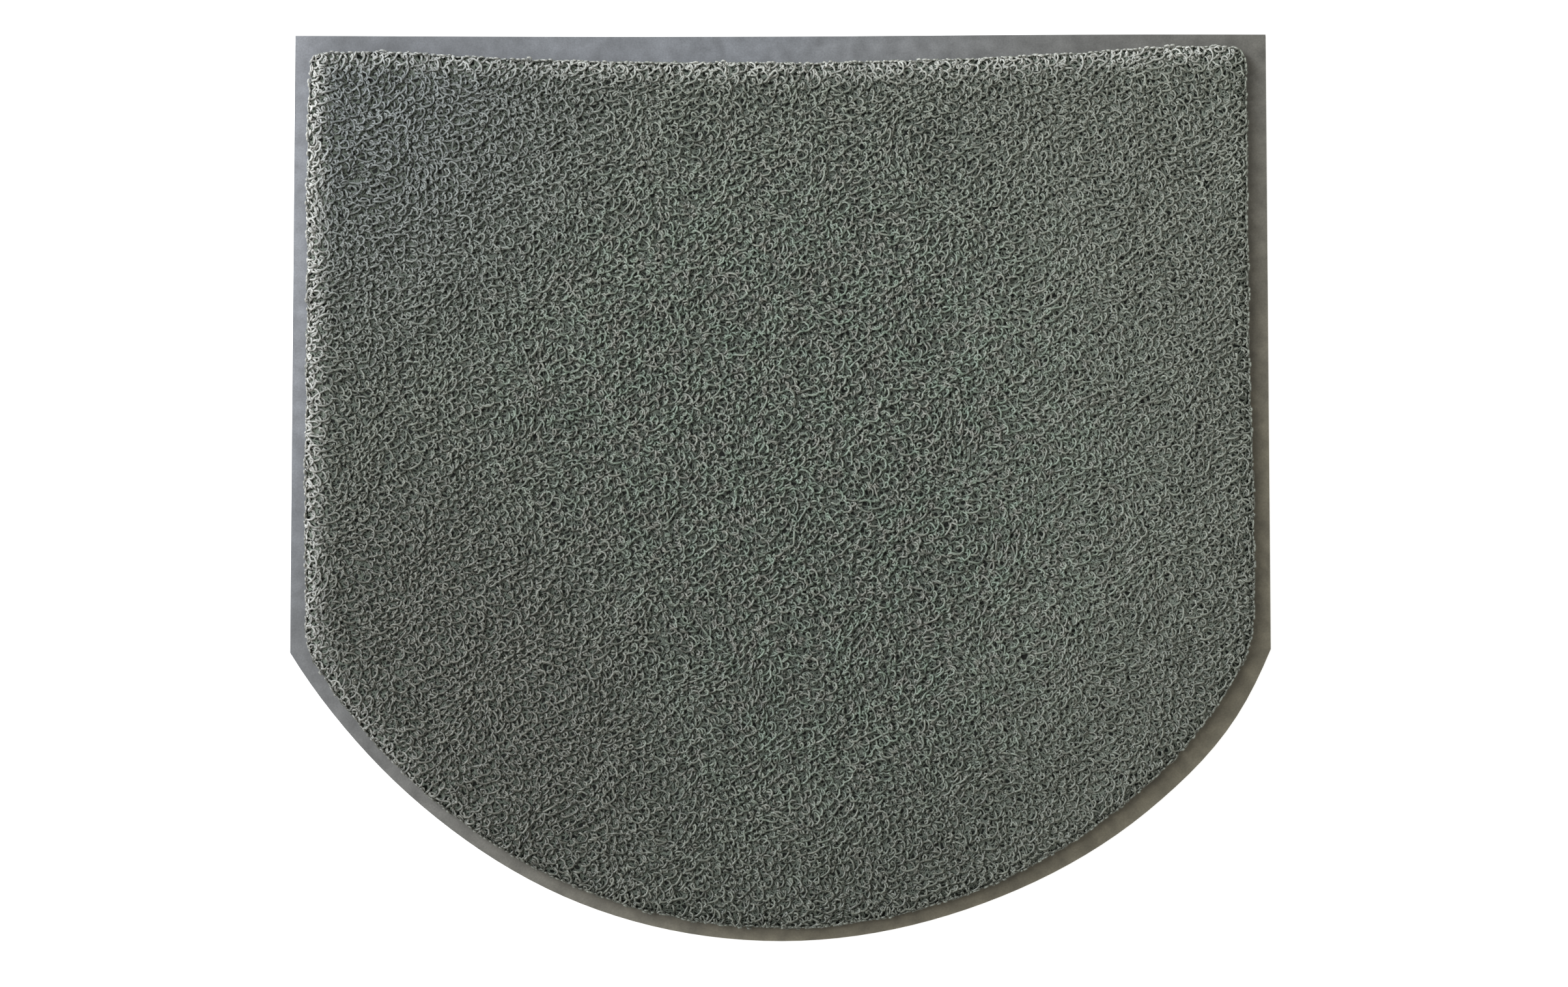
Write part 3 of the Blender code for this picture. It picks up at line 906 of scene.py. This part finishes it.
@dataclass
class CoilBed:
    """The bed of lower loops: one closed form just inside the coils."""

    plan: PilePlan
    finish: BeddedVinyl = field(default_factory=BeddedVinyl)
    cover: float = 3.1 * MM  # of coils above the bed
    inset: float = 1.9 * MM
    bearings: int = 300
    rings: int = 32
    underside: tuple[float, ...] = (1.0, 0.5)  # its rings' radii, as shares of the wall's

    def build(self) -> bpy.types.Object:
        """Makes the bed and dresses it.

        A profile is turned about the origin: at each bearing it runs from the middle of the top out to the
        wall, less the inset, down to the underside, and back to the middle. The two poles are single points.

        Returns:
            The piece.
        """
        bearing = np.linspace(0, FULL_TURN, self.bearings, endpoint=False)[:, None]
        wall = self.plan.wall
        wall_bearing, wall_reach = np.arctan2(wall[:, 1], wall[:, 0]), np.hypot(wall[:, 0], wall[:, 1])
        reach = np.interp(bearing, wall_bearing, wall_reach, period=FULL_TURN) - self.inset
        share = np.concatenate([np.linspace(0, 1, self.rings + 1)[1:], self.underside])
        x, y = reach * share * np.cos(bearing), reach * share * np.sin(bearing)
        top = self.plan.top(x, y, self.plan.depth(x, y)[0]) - self.cover
        z = np.where(np.arange(len(share)) < self.rings, top, self.plan.low)
        grid = np.stack([x, y, z], axis=-1)
        middle_top, middle_low = [0.0, 0.0, float(top[:, 0].mean())], [0.0, 0.0, self.plan.low]
        points = np.vstack([grid.reshape(-1, 3), middle_top, middle_low])
        number = np.arange(grid.shape[0] * grid.shape[1]).reshape(grid.shape[:2])
        after = np.roll(number, -1, axis=0)
        corners = [number[:, :-1], number[:, 1:], after[:, 1:], after[:, :-1]]
        quads = np.stack(corners, axis=-1).reshape(-1, 4)
        pole = np.full(self.bearings, number.size)
        caps = np.concatenate(
            [
                np.column_stack([pole, number[:, 0], after[:, 0]]),
                np.column_stack([pole + 1, after[:, -1], number[:, -1]]),
            ]
        )
        piece = mesh_object("coil_bed", points, quads, caps)
        x, y = points[:, 0], points[:, 1]
        # Painted shade on the bed, taken off where the painted rim light falls.
        set_attribute(piece, "gloom", self.plan.gloom(x, y) * (1 - self.plan.painted_rim_light(*self.plan.depth(x, y))))
        piece.data.materials.append(self.finish.material())
        return piece


@dataclass
class LoopPile:
    """The whole pile: two layers of coils that cross, the coils in its wall and the bed under them."""

    plan: PilePlan
    node: str = "loop_pile"

    def build(self) -> list[bpy.types.Object]:
        """Makes the pile's pieces and sets them in the frame in the solid's place.

        Returns:
            The pieces.
        """
        strand = ExtrudedVinyl().material()
        upper = CoilLayer(self.plan, strand, "upper_coils", heading=35.0, drop=0.0, seed=100)
        lower = CoilLayer(
            self.plan,
            strand,
            "lower_coils",
            heading=-52.0,
            drop=0.5 * MM,
            seed=200,
            winding=Winding.CLOCKWISE,
        )
        wall = WallCoils(self.plan, strand)
        bed = CoilBed(self.plan)
        pieces = [*upper.build(), *lower.build(), wall.build(), bed.build()]
        for piece in pieces:
            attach(piece, BODY)
            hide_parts(self.node)
        return pieces


@dataclass
class BackingSheet:
    """The plain sheet under the pile: the frame's solid in its own finish."""

    node: str = "backing_sheet"
    finish: CalenderedVinyl = field(default_factory=CalenderedVinyl)

    def dress(self) -> bpy.types.Object:
        """Returns:
            The sheet.
        """
        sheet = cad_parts[self.node]
        sheet.data.materials.clear()
        sheet.data.materials.append(self.finish.material())
        return sheet

    def area(self, sheet: bpy.types.Object) -> float:
        """Measures the sheet's cut area, the sum of its faces' areas as seen from below.

        Args:
            sheet: the sheet's object.

        Returns:
            The area in square metres.
        """
        return sum(face.area * max(0.0, -face.normal.z) for face in sheet.data.polygons)


@dataclass(frozen=True)
class StudioFloor:
    """Translucent white studio board lit from below, which gives the eye an even white ground."""

    name: str = "studio_board"
    colour: str = "#c8c8c6"
    roughness: float = 0.9
    glow: float = 0.75

    def material(self) -> bpy.types.Material:
        """Builds the board's material."""
        material, tree, output = fresh_material(self.name)
        settings = {
            "Base Color": linear(self.colour),
            "Roughness": self.roughness,
            "Emission Color": (1.0, 1.0, 1.0, 1.0),
            "Emission Strength": self.glow,
        }
        shader = add_node(tree, "ShaderNodeBsdfPrincipled", settings)
        tree.links.new(shader.outputs["BSDF"], output.inputs["Surface"])
        return material


@dataclass(frozen=True)
class SoftLight:
    """A square soft light that looks at the mat.

    Attributes:
        name: its name.
        place: where it stands.
        size: its side.
        power: in watts.
        colour: sRGB hex.
    """

    name: str
    place: tuple[float, float, float]
    size: float
    power: float
    colour: str

    def build(self) -> bpy.types.Object:
        """Makes the light.

        Returns:
            The light's object.
        """
        data = bpy.data.lights.new(self.name, "AREA")
        data.size = self.size
        data.energy = self.power
        data.color = linear(self.colour)[:3]
        light = bpy.data.objects.new(self.name, data)
        light.location = self.place
        light.rotation_euler = (-Vector(self.place)).to_track_quat("-Z", "Y").to_euler()
        bpy.context.scene.collection.objects.link(light)
        return light


@dataclass
class Studio:
    """The floor, the lights and the camera.

    The photograph looks down from the front at 87.6 degrees. Its window light comes from the back left, low
    enough for the pile's wall to shade the whole right margin.
    """

    lens: float = 55.13  # in millimetres
    sensor: float = 36.0  # in millimetres across
    clip_start: float = 0.05
    distance: float = 1.5
    slant_deg: float = 2.378
    aim: tuple[float, float, float] = (0.0022, -0.0057, 0.0)
    floor_half: float = 10.0
    floor_drop: float = 0.2 * MM  # under the mat
    lights: tuple[SoftLight, ...] = (
        SoftLight("window_light", (-2.3, 1.7, 2.0), 1.1, 92.0, "#f1f6ff"),
        SoftLight("ceiling_light", (-1.3, 0.4, 2.3), 1.0, 31.0, "#fdfdff"),
    )
    ambient: str = "#fffcf5"
    ambient_strength: float = 0.56

    def build_floor(self) -> bpy.types.Object:
        """Lays the floor just under the mat.

        Returns:
            The floor.
        """
        half = self.floor_half
        corners = np.array([[-half, -half], [half, -half], [half, half], [-half, half]])
        points = np.column_stack([corners, np.full(4, -self.floor_drop)])
        floor = mesh_object("floor", points, np.array([[0, 1, 2, 3]]), np.empty((0, 3), np.int64))
        floor.data.materials.append(StudioFloor().material())
        return floor

    def build_camera(self) -> bpy.types.Object:
        """Sets up the camera at the photograph's angle.

        Returns:
            The camera.
        """
        data = bpy.data.cameras.new("camera")
        data.lens = self.lens
        data.sensor_width = self.sensor
        data.clip_start = self.clip_start
        slant = math.radians(self.slant_deg)
        aim = Vector(self.aim)
        camera = bpy.data.objects.new("camera", data)
        camera.location = aim + self.distance * Vector((0.0, -math.sin(slant), math.cos(slant)))
        camera.rotation_euler = (slant, 0.0, 0.0)
        bpy.context.scene.collection.objects.link(camera)
        bpy.context.scene.camera = camera
        return camera

    def build(self) -> None:
        """Makes the whole studio."""
        self.build_floor()
        self.build_camera()
        for light in self.lights:
            light.build()
        world = bpy.data.worlds.new("soft_room")
        world.use_nodes = True
        background = world.node_tree.nodes["Background"]
        background.inputs["Color"].default_value = linear(self.ambient)
        background.inputs["Strength"].default_value = self.ambient_strength
        bpy.context.scene.world = world
        bpy.context.scene.view_settings.view_transform = "Standard"


def report(piece: bpy.types.Object) -> None:
    """Logs a piece's name and how many triangles it has.

    Args:
        piece: the mesh object.
    """
    triangles = len(piece.data.loops) - 2 * len(piece.data.polygons)
    log.info("%s: %d triangles", piece.name, triangles)


def main() -> None:
    """Builds the mat and its studio."""
    logging.basicConfig(level=logging.INFO, format="%(name)s: %(message)s")
    pile = LoopPile(PilePlan.of_node("loop_pile")).build()
    sheet = BackingSheet().dress()
    for piece in (*pile, sheet):
        report(piece)
    Studio().build()


if __name__ == "__main__":
    main()
